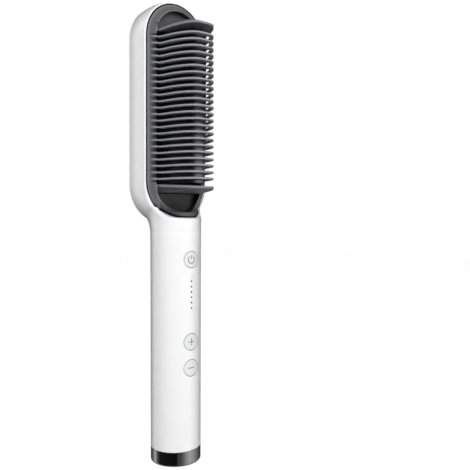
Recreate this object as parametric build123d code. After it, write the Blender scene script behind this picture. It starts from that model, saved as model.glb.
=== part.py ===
from build123d import *
import math
import os

# A hair straightening brush. The origin is the centre of the flat end that it stands on, +Z runs up
# the handle, the comb faces -Y, and +X is to the right of someone who faces the comb.
# A "reach" is a distance from the handle's axis towards the front, so y = -reach. Sizes are in mm.

# Handle
total_length = 285.0
handle_top_radius = 15.8
handle_base_radius = 15.5
handle_wall = 1.9
shell_foot_edge = 0.4
neck_drop = 31.2
neck_height = 17.0
neck_steps = (0.0, 0.2, 0.38, 0.55, 0.7, 0.85, 1.0)
neck_side_radius = 18.0
neck_side_lag = 6.5
neck_back_growth = 15.5

# Head, a pill-shaped tray with gently bulging sides
head_low_z = 171.2
head_front_half = 23.85
head_mid_half = 24.3
head_back_half = 23.6
head_front_reach = 0.6
head_mid_reach = -8.0
head_back_overhang = 1.0
head_wall = 2.4
head_front_corner = 0.5
head_back_corner = 1.0
scoop_end_inset = 2.7
scoop_foot_drop = 0.1
ledge_drop_spare = 0.35
ledge_outer_edge = 1.4

# Comb guard, one moulding: the frame, the ribs and a leaning guard at each end
comb_gap = 0.45
comb_rim = 1.45
comb_low_rise = 1.9
comb_thickness = 2.0
comb_lip_drop = 0.25
comb_rise = 3.1
comb_band = 4.9
comb_crest_drop = 9.2
comb_recess_drop = 1.7
comb_floor_drop = 1.2
comb_window_margin = 3.9
comb_nose_inset = 3.4
comb_nose_radius = 16.4
first_rib_rise = 2.7
rib_pitch = 3.9
rib_thickness = 1.5
rib_edge = 0.9
rib_bevel = 1.4
rib_height = 29.4
rib_window_lap = 2.9
rib_foot_inset = 0.8
rib_foot_sink = 0.3
rib_shoe_proud = 1.0
rib_shoe_lap = 0.5
rib_depth = 2.4
rib_leg_depth = 1.8
guard_foot_gap = 3.0
guard_foot_inset = 2.9
guard_edge = 1.2
low_guard_lean = 1.7
low_guard_base = 5.6
top_guard_lean = 2.5
top_guard_base = 6.4
arch_shoulder = 3.0
arch_fullness = 0.738
arch_steps = (0.0, 0.25, 0.45, 0.62, 0.77, 0.89, 0.965)

# Heating stack: the domed plate and what lies behind it
dome_top_gap = 3.4
dome_side_gap = 3.1
dome_foot_gap = 0.8
dome_end_gap = 0.5
fin_proud = 1.3
fin_thickness = 1.0
plate_wall = 0.8
plate_flange = 1.8
plate_flange_lap = 4.0
stack_end_lap = 4.4
stack_corner = 4.0
gasket_thickness = 0.4
tray_thickness = 2.0
heater_half_width = 7.0
heater_thickness = 1.4
heater_end_gap = 5.4
insulation_thickness = 0.5
clamp_thickness = 0.6
clamp_side_gap = 0.2
cavity_side_gap = 0.8
cavity_end_wall = 4.0
fuse_radius = 1.9
fuse_length = 11.0
fuse_lead_length = 4.0
fuse_rise = 14.0
thermistor_radius = 1.5
thermistor_length = 5.0
thermistor_rise = 8.0
tray_screw_inset = 2.0
tray_screw_end_inset = 3.4
tray_screw_radius = 1.0
tray_screw_head_radius = 1.8
tray_screw_head_height = 1.3

# Back cover
bezel_gap = 0.1
bezel_rim = 1.0
bezel_band = 4.5
bezel_lip = 1.5
bezel_lip_thickness = 0.8
bezel_thickness = 2.0
bezel_proud = 0.2
bezel_bevel = 0.3
panel_gap = 0.1
panel_crown = 1.0

# Buttons and indicators, placed down the handle from the neck
power_drop = 14.9
first_light_drop = 10.0
plus_drop = 50.0
minus_drop = 15.8
button_radius = 5.0
button_gap = 0.2
button_travel = 0.5
button_flange = 1.0
button_flange_rim = 0.9
button_wall = 1.2
button_skin = 1.4
stem_radius = 1.8
light_count = 7
light_pitch = 3.22
light_radius = 0.55
light_gap = 0.05
light_bar_half = 1.4
light_bar_stand_off = 1.2
led_width = 1.6
led_length = 0.8
led_height = 0.7

# Control board and its carrier
board_reach = 5.4
board_thickness = 1.6
board_side_gap = 0.48
board_top_overhang = 8.9
board_foot_overhang = 13.3
switch_size = 6.0
switch_height = 3.5
plunger_radius = 1.7
plunger_length = 2.2
plunger_proud = 1.05
plunger_gap = 0.2
carrier_gap = 0.2
carrier_wall = 1.5
carrier_overhang = 2.0
boss_radius = 2.6
board_screw_radius = 0.95
board_screw_length = 7.6
board_screw_head_radius = 1.9
board_screw_head_height = 1.4
board_screw_inset = 4.0
screw_bite = 0.02
screw_clearance = 0.15
pilot_spare = 0.5
chip_width = 6.4
chip_length = 5.0
chip_height = 1.2
triac_width = 10.0
triac_length = 9.0
triac_height = 4.5
triac_tab_length = 6.0
triac_tab_height = 1.3
triac_hole_radius = 1.8
film_capacitor_width = 13.0
film_capacitor_length = 12.0
film_capacitor_height = 8.0
film_capacitor_corner = 0.8
can_radius = 4.0
can_height = 11.0

# Leads
lead_radius = 0.8
lead_bend = 4.0
lead_gap = 0.05
lead_hole_gap = 0.3
supply_lead_x = 1.8
supply_tail_x = 6.0
supply_tail = 6.0
supply_bend = 5.0
heater_lead_x = 4.2
heater_lead_end_gap = 1.2
sensor_lead_radius = 0.5
sensor_lead_bend = 2.0
sensor_lead_x = 1.3
sensor_tail_inset = 4.8
sensor_lead_end_inset = 8.0
lead_tail = 8.0
lead_rise = 4.0
lead_run_depth = 3.0

# Base
base_cap_height = 8.8
base_cap_wall = 2.2
base_floor = 3.0
base_corner = 1.5
spigot_length = 8.0
spigot_gap = 0.15
gland_bore = 3.6
gland_wall = 1.9
gland_flange = 2.0
gland_flange_rim = 2.2
gland_length = 20.0
gland_set_back = 0.5
gland_gap = 0.1

# Worked out from the above
over = 10.0
head_back_reach = -(handle_top_radius + head_back_overhang)
scoop_radius = handle_top_radius - scoop_end_inset - head_front_reach
far = 2 * scoop_radius + head_mid_half
bore_radius = handle_base_radius - handle_wall
neck_start_z = head_low_z - neck_drop
head_top_z = total_length - head_front_half
comb_half = head_front_half - comb_rim
recess_half = comb_half - comb_band
window_half = recess_half - comb_window_margin
comb_back_reach = head_front_reach - comb_thickness
rib_root_reach = (head_front_reach - comb_floor_drop + comb_back_reach) / 2
head_cavity_half = head_front_half - head_wall
comb_low_z = head_low_z + comb_low_rise
ledge_z = comb_low_z - comb_half - scoop_foot_drop
ledge_drop_radius = comb_thickness + handle_wall / 2 + ledge_drop_spare
scoop_z = ledge_z + scoop_radius
comb_nose_reach = handle_top_radius - comb_nose_inset
comb_lip_reach = head_front_reach - comb_lip_drop
comb_crest_reach = head_front_reach + comb_rise
comb_slope = (comb_crest_reach - comb_lip_reach) / comb_band
first_rib_z = head_low_z + first_rib_rise
rib_count = 1 + int((head_top_z - first_rib_z) / rib_pitch)
last_rib_z = first_rib_z + rib_pitch * (rib_count - 1)
rib_half_width = window_half + rib_window_lap
rib_foot_half = comb_half - rib_foot_inset
rib_foot_reach = comb_lip_reach + comb_slope * rib_foot_inset - rib_foot_sink
low_foot_z = first_rib_z - guard_foot_gap
top_foot_z = last_rib_z + guard_foot_gap
dome_height = rib_height - rib_depth - dome_top_gap
dome_half_width = rib_half_width - rib_leg_depth - dome_side_gap
dome_foot_half = window_half - dome_foot_gap
dome_low_z = low_foot_z + dome_end_gap
dome_top_z = top_foot_z - dome_end_gap
flange_half = window_half + plate_flange_lap
flange_front = comb_back_reach - gasket_thickness
flange_back = flange_front - plate_flange
tray_back = flange_back - tray_thickness
stack_low_z = low_foot_z - stack_end_lap
stack_top_z = top_foot_z + stack_end_lap
heater_mid_z = (low_foot_z + top_foot_z) / 2
heater_length = dome_top_z - dome_low_z - 2 * (cavity_end_wall + heater_end_gap)
clamp_half_width = heater_half_width + clamp_side_gap
cavity_half = clamp_half_width + cavity_side_gap
bezel_back = head_back_reach + bezel_thickness
power_z = neck_start_z - power_drop
top_light_z = power_z - first_light_drop
bottom_light_z = top_light_z - light_pitch * (light_count - 1)
plus_z = power_z - plus_drop
minus_z = plus_z - minus_drop
button_flange_radius = button_radius + button_flange_rim
button_seat = math.sqrt(bore_radius ** 2 - button_flange_radius ** 2) - button_gap
board_back = board_reach - board_thickness
board_low_z = minus_z - board_foot_overhang
board_top_z = power_z + board_top_overhang
board_half_width = math.sqrt(bore_radius ** 2 - board_reach ** 2) - board_side_gap
sensor_tail_x = board_half_width - sensor_tail_inset
board_screw_zs = (board_low_z + board_screw_inset, board_top_z - board_screw_inset)
switch_front = board_reach + switch_height
stem_end = switch_front + plunger_proud
plunger_end = stem_end - plunger_length
heater_lead_z = heater_mid_z - heater_length / 2 - heater_lead_end_gap
sensor_lead_z = heater_mid_z - heater_length / 2 + sensor_lead_end_inset
thermistor_z = sensor_lead_z + thermistor_rise
fuse_z = thermistor_z + fuse_rise
lead_run_reach = tray_back - lead_run_depth
tray_screw_tip = comb_back_reach + comb_thickness / 2 - pilot_spare


def arch_reach(x, height, half_width, base):
    """How far the arch reaches to the front at a distance from the middle plane."""
    return base + (height - base) * (1 - (abs(x) / half_width) ** arch_shoulder) ** arch_fullness


cavity_roof = arch_reach(cavity_half, dome_height, dome_half_width, flange_front) - plate_wall
heater_back = cavity_roof - heater_thickness
insulation_back = heater_back - insulation_thickness
clamp_back = insulation_back - clamp_thickness


def stadium(half_width, low_z, top_z):
    """An upright pill outline in the front plane, given by the centres of its round ends."""
    outline = Rot(0, 0, 90) * SlotCenterToCenter(top_z - low_z, 2 * half_width)
    return Pos(0, (low_z + top_z) / 2) * outline


def head_stadium(half_width):
    return stadium(half_width, head_low_z, head_top_z)


def prism(outline, back, front):
    """Extrude a front-plane outline from one reach to another."""
    return extrude(Plane.XZ.offset(back) * outline, amount=front - back)


def rod(x, z, radius, back, front):
    """A round bar that points to the front."""
    return prism(Pos(x, z) * Circle(radius), back, front)


def block(x0, x1, back, front, z0, z1):
    corner = Pos((x0 + x1) / 2, -(back + front) / 2, (z0 + z1) / 2)
    return corner * Box(x1 - x0, front - back, z1 - z0)


def slab(points, half_width):
    """A shape drawn as (reach, z) points, as wide as given on both sides of the middle plane."""
    outline = make_face(Polyline(*[(-reach, z) for reach, z in points], close=True))
    return extrude(Plane.YZ * outline, amount=half_width, both=True)


def wire_tube(points, radius, bend):
    """A lead along points given as (x, reach, z), with each corner rounded."""
    path = FilletPolyline(*[(x, -reach, z) for x, reach, z in points], radius=bend)
    start = Plane(path @ 0, z_dir=path % 0)
    return sweep(start * Circle(radius), path)


def front_of_scoop(setback):
    """Everything in front of the head's face, which curves forward at its foot into a drooping ledge."""
    face_reach = head_front_reach - setback
    centre_reach = head_front_reach + scoop_radius
    radius = scoop_radius + setback
    drop = ledge_drop_radius - setback
    low_z, top_z = scoop_z - radius, total_length + over
    end_reach, end_z = centre_reach + drop, low_z - drop
    shorter = 1 - math.sqrt(0.5)
    wall = Line((-face_reach, top_z), (-face_reach, scoop_z))
    curve = ThreePointArc(
        (-face_reach, scoop_z),
        (-(face_reach + radius * shorter), low_z + radius * shorter),
        (-centre_reach, low_z),
    )
    ledge = ThreePointArc(
        (-centre_reach, low_z),
        (-(end_reach - drop * shorter), low_z - drop * shorter),
        (-end_reach, end_z),
    )
    rest = Polyline((-end_reach, end_z), (-far, end_z), (-far, top_z), (-face_reach, top_z))
    return extrude(Plane.YZ * make_face(wall + curve + ledge + rest), amount=far, both=True)


def head_half_section():
    """Half of the head's cross-section, from the middle plane out to the bulging side."""
    front, back = -head_front_reach, -head_back_reach
    corner, heel = head_front_corner, head_back_corner
    face = Line((0, front), (head_front_half - corner, front))
    lip = RadiusArc((head_front_half - corner, front), (head_front_half, front + corner), -corner)
    side = ThreePointArc(
        (head_front_half, front + corner), (head_mid_half, -head_mid_reach), (head_back_half, back - heel)
    )
    turn = RadiusArc((head_back_half, back - heel), (head_back_half - heel, back), -heel)
    rear = Line((head_back_half - heel, back), (0, back))
    middle = Line((0, back), (0, front))
    return make_face(face + lip + side + turn + rear + middle)


def head_solid():
    half = head_half_section()
    section = half + mirror(half, about=Plane.YZ)
    body = extrude(Pos(0, 0, head_low_z) * section, amount=head_top_z - head_low_z)
    end = revolve(half, axis=Axis.Y)
    return body + Pos(0, 0, head_low_z) * end + Pos(0, 0, head_top_z) * end


def handle_solid():
    """The slightly tapered handle, up to where the neck starts."""
    low_z, edge = base_cap_height, shell_foot_edge
    foot = Line((0, low_z), (handle_base_radius - edge, low_z))
    corner = RadiusArc((handle_base_radius - edge, low_z), (handle_base_radius, low_z + edge), -edge)
    side = Line((handle_base_radius, low_z + edge), (handle_top_radius, neck_start_z))
    rest = Polyline((handle_top_radius, neck_start_z), (0, neck_start_z), (0, low_z))
    return revolve(Plane.XZ * make_face(foot + corner + side + rest), axis=Axis.Z)


def neck_solid():
    """The neck, which widens upwards to the sides and more to the back, where it carries the head."""
    sections = []
    for step in neck_steps:
        rise = neck_height * step
        side_rise = max(rise - neck_side_lag, 0)
        growth = neck_side_radius - math.sqrt(neck_side_radius ** 2 - side_rise ** 2)
        side = handle_top_radius + growth
        back = handle_top_radius + neck_back_growth * step ** 2
        rear = EllipticalCenterArc((0, 0), side, back, 0, arc_size=180)
        front = EllipticalCenterArc((0, 0), side, handle_top_radius, 180, arc_size=180)
        sections.append(Pos(0, 0, neck_start_z + rise) * make_face(rear + front))
    return loft(sections) - block(-far, far, -far, head_back_reach, neck_start_z, head_top_z)


def comb_stadium(half_width, drop):
    """A pill outline on the comb, its lower round end moved down from the comb's own by the drop."""
    return stadium(half_width, comb_low_z - drop, head_top_z)


def comb_footprint(gap):
    """The room that the comb takes: the pill outline, with a round nose over the handle."""
    pill = prism(comb_stadium(comb_half + gap, 0), comb_back_reach, far)
    nose = Cylinder(comb_nose_radius + gap, 2 * total_length)
    nose = Pos(0, comb_nose_radius - comb_nose_reach) * nose
    return pill & (nose + block(-far, far, -far, comb_crest_reach, 0, total_length))


def ledge_edge(shell):
    """The outer edge of the ledge at the handle's top."""
    return shell.edges().sort_by_distance((0, -handle_top_radius, ledge_z - ledge_drop_radius / 2))[0]


def handle_shell():
    """The white moulding: the tubular handle and the head's tray in one."""
    shell = handle_solid() + neck_solid() + head_solid()
    shell -= front_of_scoop(0)
    shell = fillet(ledge_edge(shell), ledge_outer_edge)
    shell -= front_of_scoop(comb_thickness) & comb_footprint(comb_gap)
    tray_low_z = scoop_z - comb_thickness
    cavity = prism(head_stadium(head_cavity_half), head_back_reach - over, comb_back_reach)
    shell -= cavity & block(-far, far, -far, far, tray_low_z, total_length)
    bore = Cylinder(bore_radius, scoop_z, align=(Align.CENTER, Align.CENTER, Align.MIN))
    shell -= bore - front_of_scoop(comb_thickness + handle_wall / 2)
    shell -= prism(head_stadium(head_back_half - bezel_rim + bezel_gap), head_back_reach - over, bezel_back)
    for z in (power_z, plus_z, minus_z):
        shell -= rod(0, z, button_radius + button_gap, 0, far)
    for index in range(light_count):
        shell -= rod(0, top_light_z - light_pitch * index, light_radius + light_gap, 0, far)
    return shell


def arch_points(height, half_width, base):
    """Points of one arch, a bell that stands on the base reach."""
    xs = [half_width * step for step in arch_steps]
    right = [(x, arch_reach(x, height, half_width, base)) for x in xs]
    left = [(-x, reach) for x, reach in reversed(right[1:])]
    return left + right


def arch_edge(height, half_width, base, foot_half, foot_reach):
    points = arch_points(height, half_width, base)
    points = [(-foot_half, foot_reach)] + points + [(foot_half, foot_reach)]
    return Spline(*[(x, -reach) for x, reach in points])


def arch_face(height, half_width, base, foot_half, foot_reach, root_reach):
    """A filled bell in the plan view, with straight sides from its foot to its root."""
    edge = arch_edge(height, half_width, base, foot_half, foot_reach)
    return make_face(edge + Polyline(edge @ 1, (foot_half, -root_reach), (-foot_half, -root_reach), edge @ 0))


def rib_bell():
    """The outline that the ribs and the two end guards share."""
    base, foot = head_front_reach, rib_foot_reach
    return arch_face(rib_height, rib_half_width, base, rib_foot_half, foot, rib_root_reach)


def rib():
    """One comb rib: an arch with a blunt edge that widens inward, on two flared feet."""
    inner_height = rib_height - rib_depth
    inner_half = rib_half_width - rib_leg_depth
    hollow_foot = comb_back_reach - comb_thickness
    hollow = arch_face(inner_height, inner_half, comb_back_reach, inner_half, hollow_foot, hollow_foot - over)
    ring = rib_bell() - hollow
    arch = extrude(Pos(0, 0, -rib_thickness / 2) * ring, amount=rib_thickness)
    outer = arch.edges().filter_by(Plane.XY).sort_by(lambda edge: edge.length)[-2:]
    arch = chamfer(outer, (rib_thickness - rib_edge) / 2, rib_bevel)
    return arch + rib_shoe(-1) + rib_shoe(1)


def rib_shoe(side):
    """The thin foot of a rib, which runs from its leg over the frame's crest and down the sloping band."""
    leg = rib_half_width - rib_leg_depth / 2
    top = comb_crest_reach + rib_shoe_proud
    corners = [
        (leg, rib_root_reach),
        (leg, top),
        (recess_half + rib_shoe_lap, top),
        (rib_foot_half, rib_foot_reach),
        (rib_foot_half, rib_root_reach),
    ]
    outline = make_face(Polyline(*[(side * x, -reach) for x, reach in corners], close=True))
    return extrude(Pos(0, 0, -rib_edge / 2) * outline, amount=rib_edge)


def guard(foot_z, outward, lean, base):
    """A closed end wall with the ribs' outline, which leans away from them."""
    tip_z = foot_z + outward * lean
    wall = slab(
        [
            (comb_back_reach, foot_z),
            (rib_height, tip_z),
            (rib_height, tip_z + outward * guard_edge),
            (comb_back_reach, foot_z + outward * base),
        ],
        rib_foot_half,
    )
    wall &= prism(comb_stadium(comb_half - guard_foot_inset, 0), rib_root_reach, far)
    return wall & extrude(Pos(0, 0, foot_z) * rib_bell(), amount=over, both=True)


def outside_bevel():
    """What lies outside the frame's sloping band, which fades out towards the nose."""
    lip = Plane.XZ.offset(comb_lip_reach) * comb_stadium(comb_half, 0)
    crest = Plane.XZ.offset(comb_crest_reach) * comb_stadium(recess_half, comb_crest_drop)
    room = block(-far, far, comb_lip_reach, comb_crest_reach, 0, total_length + over)
    return room - loft([lip, crest])


def comb_guard():
    """The dark moulding: a bevelled frame that follows the scoop, the ribs and the two guards."""
    comb = (front_of_scoop(comb_thickness) - front_of_scoop(-comb_rise)) & comb_footprint(0)
    comb -= outside_bevel()
    recess = prism(comb_stadium(recess_half, comb_recess_drop), comb_back_reach, far)
    comb -= front_of_scoop(comb_floor_drop) & recess
    comb -= block(-window_half, window_half, -far, far, low_foot_z, top_foot_z)
    one_rib = rib()
    ribs = [Pos(0, 0, first_rib_z + rib_pitch * index) * one_rib for index in range(rib_count)]
    low_guard = guard(low_foot_z, -1, low_guard_lean, low_guard_base)
    top_guard = guard(top_foot_z, 1, top_guard_lean, top_guard_base)
    comb = comb.fuse(*ribs, low_guard, top_guard)
    for x, z in tray_screw_places():
        comb -= rod(x, z, tray_screw_radius, comb_back_reach, tray_screw_tip + pilot_spare)
    return comb


def stack_outline():
    """The round-cornered outline shared by the heating plate's flange, its gasket and its tray."""
    outline = RectangleRounded(2 * flange_half, stack_top_z - stack_low_z, stack_corner)
    return Pos(0, (stack_low_z + stack_top_z) / 2) * outline


def tray_screw_places():
    half = flange_half - tray_screw_inset
    low_z, top_z = stack_low_z + tray_screw_end_inset, stack_top_z - tray_screw_end_inset
    return [(x, z) for x in (-half, half) for z in (low_z, top_z)]


def tray_screw_holes(back, front):
    radius = tray_screw_radius + screw_clearance
    return [rod(x, z, radius, back, front) for x, z in tray_screw_places()]


def heating_plate():
    """The dome under the ribs, with a fin behind each rib, on a flange screwed up against the comb."""
    root = (flange_back + flange_front) / 2
    bell = arch_face(dome_height, dome_half_width, flange_front, dome_foot_half, flange_front, root)
    dome = extrude(Pos(0, 0, dome_low_z) * bell, amount=dome_top_z - dome_low_z)
    fin_half = dome_half_width + fin_proud / 2
    fin_face = arch_face(dome_height + fin_proud, fin_half, flange_front, dome_foot_half, flange_front, root)
    fin = extrude(Pos(0, 0, -fin_thickness / 2) * fin_face, amount=fin_thickness)
    fins = [Pos(0, 0, first_rib_z + rib_pitch * index) * fin for index in range(rib_count)]
    plate = prism(stack_outline(), flange_back, flange_front).fuse(dome, *fins)
    low_z, top_z = dome_low_z + cavity_end_wall, dome_top_z - cavity_end_wall
    plate -= block(-cavity_half, cavity_half, flange_back, cavity_roof, low_z, top_z)
    return plate - tray_screw_holes(flange_back, flange_front)


def plate_gasket():
    ring = prism(stack_outline(), flange_front, comb_back_reach)
    ring -= block(-window_half, window_half, flange_front, comb_back_reach, low_foot_z, top_foot_z)
    return ring - tray_screw_holes(flange_front, comb_back_reach)


def strip(half_width, back, front):
    """A bar as long as the heater, in the plate's cavity."""
    low_z = heater_mid_z - heater_length / 2
    return block(-half_width, half_width, back, front, low_z, low_z + heater_length)


def heater_clamp():
    """A folded steel channel that presses the heater against the plate and stands on the tray."""
    channel = strip(clamp_half_width, flange_back, insulation_back)
    return channel - strip(clamp_half_width - clamp_thickness, flange_back, clamp_back)


def heater_tray():
    """The cover behind the plate, with a hole for each lead."""
    tray = prism(stack_outline(), tray_back, flange_back)
    heater_hole = lead_radius + lead_hole_gap
    sensor_hole = sensor_lead_radius + lead_hole_gap / 2
    for side in (-1, 1):
        tray -= rod(side * heater_lead_x, heater_lead_z, heater_hole, tray_back, flange_back)
        tray -= rod(side * sensor_lead_x, sensor_lead_z, sensor_hole, tray_back, flange_back)
    return tray - tray_screw_holes(tray_back, flange_back)


def tray_screws():
    screws = []
    head_back = tray_back - tray_screw_head_height
    for x, z in tray_screw_places():
        shank = rod(x, z, tray_screw_radius - screw_bite, tray_back, tray_screw_tip)
        screws.append(shank + rod(x, z, tray_screw_head_radius, head_back, tray_back))
    return Compound(children=screws)


def thermal_fuse():
    place = Pos(0, -(clamp_back - fuse_radius), fuse_z)
    body = place * Cylinder(fuse_radius, fuse_length)
    return body + place * Cylinder(sensor_lead_radius, fuse_length + 2 * fuse_lead_length)


def thermistor():
    place = Pos(0, -(clamp_back - thermistor_radius), thermistor_z)
    return place * Cylinder(thermistor_radius, thermistor_length)


def back_bezel():
    """The metallic ring that closes the tray and holds the panel on its lip."""
    outer = head_back_half - bezel_rim
    inner = outer - bezel_band
    rear = head_back_reach - bezel_proud
    ring = prism(head_stadium(outer), rear, bezel_back)
    ring -= prism(head_stadium(inner), rear, bezel_back - bezel_lip_thickness)
    ring -= prism(head_stadium(inner - bezel_lip), rear, bezel_back)
    return chamfer(ring.faces().sort_by(Axis.Y)[-1].edges(), bezel_bevel)


def back_panel():
    """The panel in the bezel, crowned across its width."""
    half = head_back_half - bezel_rim - bezel_band - panel_gap
    rear = head_back_reach - panel_crown
    crown_radius = (half ** 2 + panel_crown ** 2) / (2 * panel_crown)
    drum = Pos(0, -(rear + crown_radius), total_length / 2) * Cylinder(crown_radius, 2 * total_length)
    return prism(head_stadium(half), rear, bezel_back - bezel_lip_thickness) & drum


def button(z):
    """A cap that follows the handle's surface, hollow behind, with a flange and a stem."""
    flange_back_reach = button_seat - button_flange
    skin_back = math.sqrt(handle_base_radius ** 2 - button_radius ** 2) - button_skin
    cap = rod(0, z, button_radius, flange_back_reach, far) & handle_solid()
    cap += rod(0, z, button_flange_radius, flange_back_reach, button_seat)
    cap -= rod(0, z, button_radius - button_wall, flange_back_reach, skin_back)
    return cap + rod(0, z, stem_radius, stem_end, skin_back)


def plunger(z):
    return rod(0, z, plunger_radius, plunger_end, stem_end)


def switch(z):
    """A tactile switch on the board, with a well for its plunger's travel."""
    half = switch_size / 2
    body = block(-half, half, board_reach, switch_front, z - half, z + half)
    well_end = plunger_end - button_travel - plunger_gap
    return body - rod(0, z, plunger_radius + plunger_gap, well_end, switch_front)


def light_guide():
    """One clear moulding: a bar behind the wall with a pin in each indicator hole."""
    bar_back = board_reach + light_bar_stand_off
    bar_front = math.sqrt(bore_radius ** 2 - light_bar_half ** 2) - light_gap
    low_z, top_z = bottom_light_z - light_bar_half, top_light_z + light_bar_half
    guide = block(-light_bar_half, light_bar_half, bar_back, bar_front, low_z, top_z)
    for index in range(light_count):
        guide += rod(0, top_light_z - light_pitch * index, light_radius, bar_back, far)
    return guide & handle_solid()


def indicator_leds():
    half, front = led_width / 2, board_reach + led_height
    lamps = []
    for index in range(light_count):
        low_z = top_light_z - light_pitch * index - led_length / 2
        lamps.append(block(-half, half, board_reach, front, low_z, low_z + led_length))
    return Compound(children=lamps)


def control_board():
    board = block(-board_half_width, board_half_width, board_back, board_reach, board_low_z, board_top_z)
    for z in board_screw_zs:
        board -= rod(0, z, board_screw_radius + screw_clearance, board_back, board_reach)
    return board


def board_carrier():
    """Half a tube that slides up the handle; the board lies across it and screws to two bosses."""
    outer_radius = bore_radius - carrier_gap
    inner_radius = outer_radius - carrier_wall
    length = board_top_z - board_low_z + 2 * carrier_overhang
    tube = Cylinder(outer_radius, length) - Cylinder(inner_radius, length)
    carrier = Pos(0, 0, (board_low_z + board_top_z) / 2) * tube
    carrier -= block(-far, far, board_back, far, 0, total_length)
    for z in board_screw_zs:
        carrier += rod(0, z, boss_radius, -inner_radius - carrier_wall / 2, board_back)
        pilot_end = board_reach - board_screw_length - pilot_spare
        carrier -= rod(0, z, board_screw_radius, pilot_end, board_back)
    return carrier


def board_screws():
    screws = []
    for z in board_screw_zs:
        shank = rod(0, z, board_screw_radius - screw_bite, board_reach - board_screw_length, board_reach)
        head = rod(0, z, board_screw_head_radius, board_reach, board_reach + board_screw_head_height)
        screws.append(shank + head)
    return Compound(children=screws)


def microcontroller():
    half = chip_width / 2
    low_z = (plus_z + bottom_light_z - chip_length) / 2
    return block(-half, half, board_reach, board_reach + chip_height, low_z, low_z + chip_length)


def triac():
    """A power switch in its plastic body, its drilled tab flat on the board's back."""
    half = triac_width / 2
    low_z = (board_top_z + plus_z) / 2
    tab_z = low_z + triac_length
    tab_top_z = tab_z + triac_tab_length
    body = block(-half, half, board_back - triac_height, board_back, low_z, tab_z)
    tab = block(-half, half, board_back - triac_tab_height, board_back, tab_z, tab_top_z)
    hole = rod(0, (tab_z + tab_top_z) / 2, triac_hole_radius, board_back - triac_tab_height, board_back)
    return body + tab - hole


def x2_capacitor():
    half = film_capacitor_width / 2
    low_z = board_low_z + 2 * board_screw_inset + carrier_overhang
    back, top_z = board_back - film_capacitor_height, low_z + film_capacitor_length
    box = block(-half, half, back, board_back, low_z, top_z)
    return fillet(box.edges().filter_by(Axis.Y), film_capacitor_corner)


def smoothing_capacitor():
    return rod(0, plus_z + switch_size, can_radius, board_back - can_height, board_back)


def base_cap():
    """Gloss end cap: a round-edged cup with a stepped spigot in the handle and a hole for the gland."""
    hole = gland_bore + gland_wall + gland_gap
    spigot = bore_radius - spigot_gap
    inside = spigot - base_cap_wall
    flat = handle_base_radius - base_corner
    low = Line((hole, 0), (flat, 0))
    corner = RadiusArc((flat, 0), (handle_base_radius, base_corner), -base_corner)
    rest = Polyline(
        (handle_base_radius, base_corner),
        (handle_base_radius, base_cap_height),
        (spigot, base_cap_height),
        (spigot, base_cap_height + spigot_length),
        (inside, base_cap_height + spigot_length),
        (inside, base_floor),
        (hole, base_floor),
        (hole, 0),
    )
    return revolve(Plane.XZ * make_face(low + corner + rest), axis=Axis.Z)


def inlet_gland():
    """A flanged bush for the lead, which rests on the cap's floor."""
    outer = gland_bore + gland_wall
    top_z = gland_set_back + gland_length
    outline = Polyline(
        (gland_bore, gland_set_back),
        (outer, gland_set_back),
        (outer, base_floor),
        (outer + gland_flange_rim, base_floor),
        (outer + gland_flange_rim, base_floor + gland_flange),
        (outer, base_floor + gland_flange),
        (outer, top_z),
        (gland_bore, top_z),
        close=True,
    )
    return revolve(Plane.XZ * make_face(outline), axis=Axis.Z)


def pair(points, radius, bend):
    """A lead along (x, reach, z) points on the right, and its mirror image on the left."""
    leads = []
    for side in (-1, 1):
        leads.append(wire_tube([(side * x, reach, z) for x, reach, z in points], radius, bend))
    return Compound(children=leads)


def supply_leads():
    start_z = gland_set_back + gland_length + lead_hole_gap
    reach = board_back - lead_radius - lead_gap
    return pair(
        [
            (supply_lead_x, 0, start_z),
            (supply_lead_x, 0, start_z + 2 * lead_rise),
            (supply_tail_x, reach, board_low_z - supply_tail),
            (supply_tail_x, reach, board_low_z + supply_tail),
        ],
        lead_radius,
        supply_bend,
    )


def heater_leads():
    reach = board_back - lead_radius - lead_gap
    return pair(
        [
            (heater_lead_x, reach, board_top_z - lead_tail),
            (heater_lead_x, reach, board_top_z + lead_rise),
            (heater_lead_x, lead_run_reach, head_low_z - lead_tail),
            (heater_lead_x, lead_run_reach, heater_lead_z),
            (heater_lead_x, heater_back + heater_thickness / 2, heater_lead_z),
        ],
        lead_radius,
        lead_bend,
    )


def sensor_leads():
    reach = board_back - sensor_lead_radius - lead_gap
    run_reach = lead_run_reach - 2 * lead_radius - 2 * sensor_lead_radius
    sensor_reach = clamp_back - thermistor_radius
    turn_z = sensor_lead_z - 3 * sensor_lead_bend
    end_z = thermistor_z - thermistor_length / 2
    return pair(
        [
            (sensor_tail_x, reach, board_top_z - lead_tail),
            (sensor_tail_x, reach, board_top_z + lead_rise),
            (sensor_tail_x, run_reach, head_low_z - lead_tail),
            (sensor_lead_x, run_reach, turn_z),
            (sensor_lead_x, run_reach, sensor_lead_z),
            (sensor_lead_x, sensor_reach, sensor_lead_z),
            (sensor_lead_x, sensor_reach, end_z),
        ],
        sensor_lead_radius,
        sensor_lead_bend,
    )


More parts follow.
